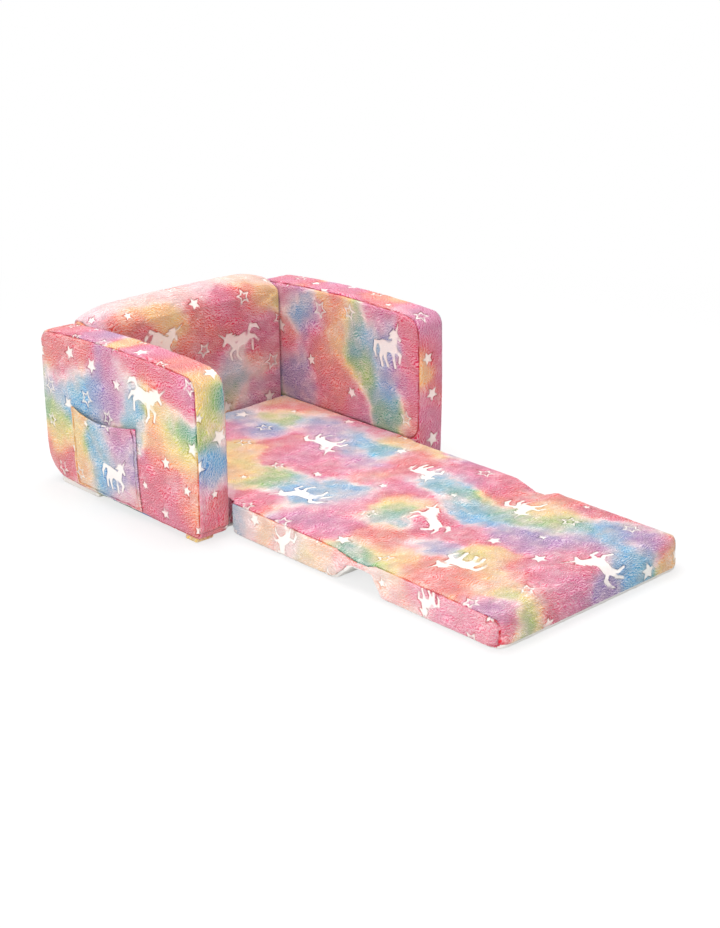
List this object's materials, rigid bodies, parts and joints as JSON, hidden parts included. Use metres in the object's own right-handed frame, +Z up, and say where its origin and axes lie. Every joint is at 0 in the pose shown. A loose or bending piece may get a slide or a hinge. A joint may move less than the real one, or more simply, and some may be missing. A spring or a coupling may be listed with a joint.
{
  "type": "kids flip open sofa",
  "caption": "Low foam sofa for a small child in tie-dyed plush, with a side pocket and a folded cushion that flips forward into a lounger.",
  "frame": {"origin": "on the floor, under the middle of the box of the open sofa", "axes": "+Z up, +Y from the lounger's foot towards the sofa's back, +X to the right seen from the front"},
  "size_m": [0.6704, 1.194, 0.3525],
  "materials": {
    "plush": "short fleece plush, tie-dyed in pink, coral, yellow, green, blue and lilac with pale stars",
    "base_cloth": "smooth off-white cloth",
    "foam": "polyurethane foam",
    "zip_tape": "woven tape",
    "zip_teeth": "nylon coil",
    "zip_metal": "die-cast slider"
  },
  "bodies": {
    "sofa": {"left_arm_foam": "foam", "left_arm_outer_panel": "plush", "left_arm_inner_panel": "plush", "left_arm_boxing": "plush", "right_arm_foam": "foam", "right_arm_outer_panel": "plush", "right_arm_inner_panel": "plush", "right_arm_boxing": "plush", "back_foam": "foam", "back_front_panel": "plush", "back_rear_panel": "plush", "back_left_gusset": "plush", "back_right_gusset": "plush", "seat_foam": "foam", "seat_top_panel": "plush", "seat_base_cloth": "base_cloth", "seat_left_gusset": "plush", "seat_right_gusset": "plush", "front_hinge_web": "plush", "pocket_panel": "plush", "pocket_hem": "plush", "left_front_foot": "plush", "left_rear_foot_strip": "base_cloth", "right_front_foot": "plush", "right_rear_foot_strip": "base_cloth", "back_zip_tape": "zip_tape", "back_zip_chain": "zip_teeth"},
    "middle_section": {"middle_foam": "foam", "middle_top_panel": "plush", "middle_base_cloth": "base_cloth", "middle_left_gusset": "plush", "middle_right_gusset": "plush", "fold_waist": "plush"},
    "end_section": {"end_foam": "foam", "end_top_panel": "plush", "end_base_cloth": "base_cloth", "end_left_gusset": "plush", "end_right_gusset": "plush"},
    "zip_slider": {"back_zip_slider": "zip_metal"}
  },
  "joints": [
    {"name": "flip", "type": "hinge", "parent": "sofa", "child": "middle_section", "pos_m": [0, 0.098, 0.0736], "axis": [-1, 0, 0], "range_deg": [0, 180], "deforming": ["front_hinge_web"]},
    {"name": "fold", "type": "hinge", "parent": "middle_section", "child": "end_section", "pos_m": [0, -0.26, -0.0006], "axis": [-1, 0, 0], "range_deg": [-180, 0], "deforming": ["fold_waist"]},
    {"name": "zip", "type": "slide", "parent": "sofa", "child": "zip_slider", "axis": [1, 0, 0], "range_m": [0, 0.406]}
  ],
  "couplings": [
    {"joint": "fold", "follows": "flip", "ratio": -1}
  ]
}
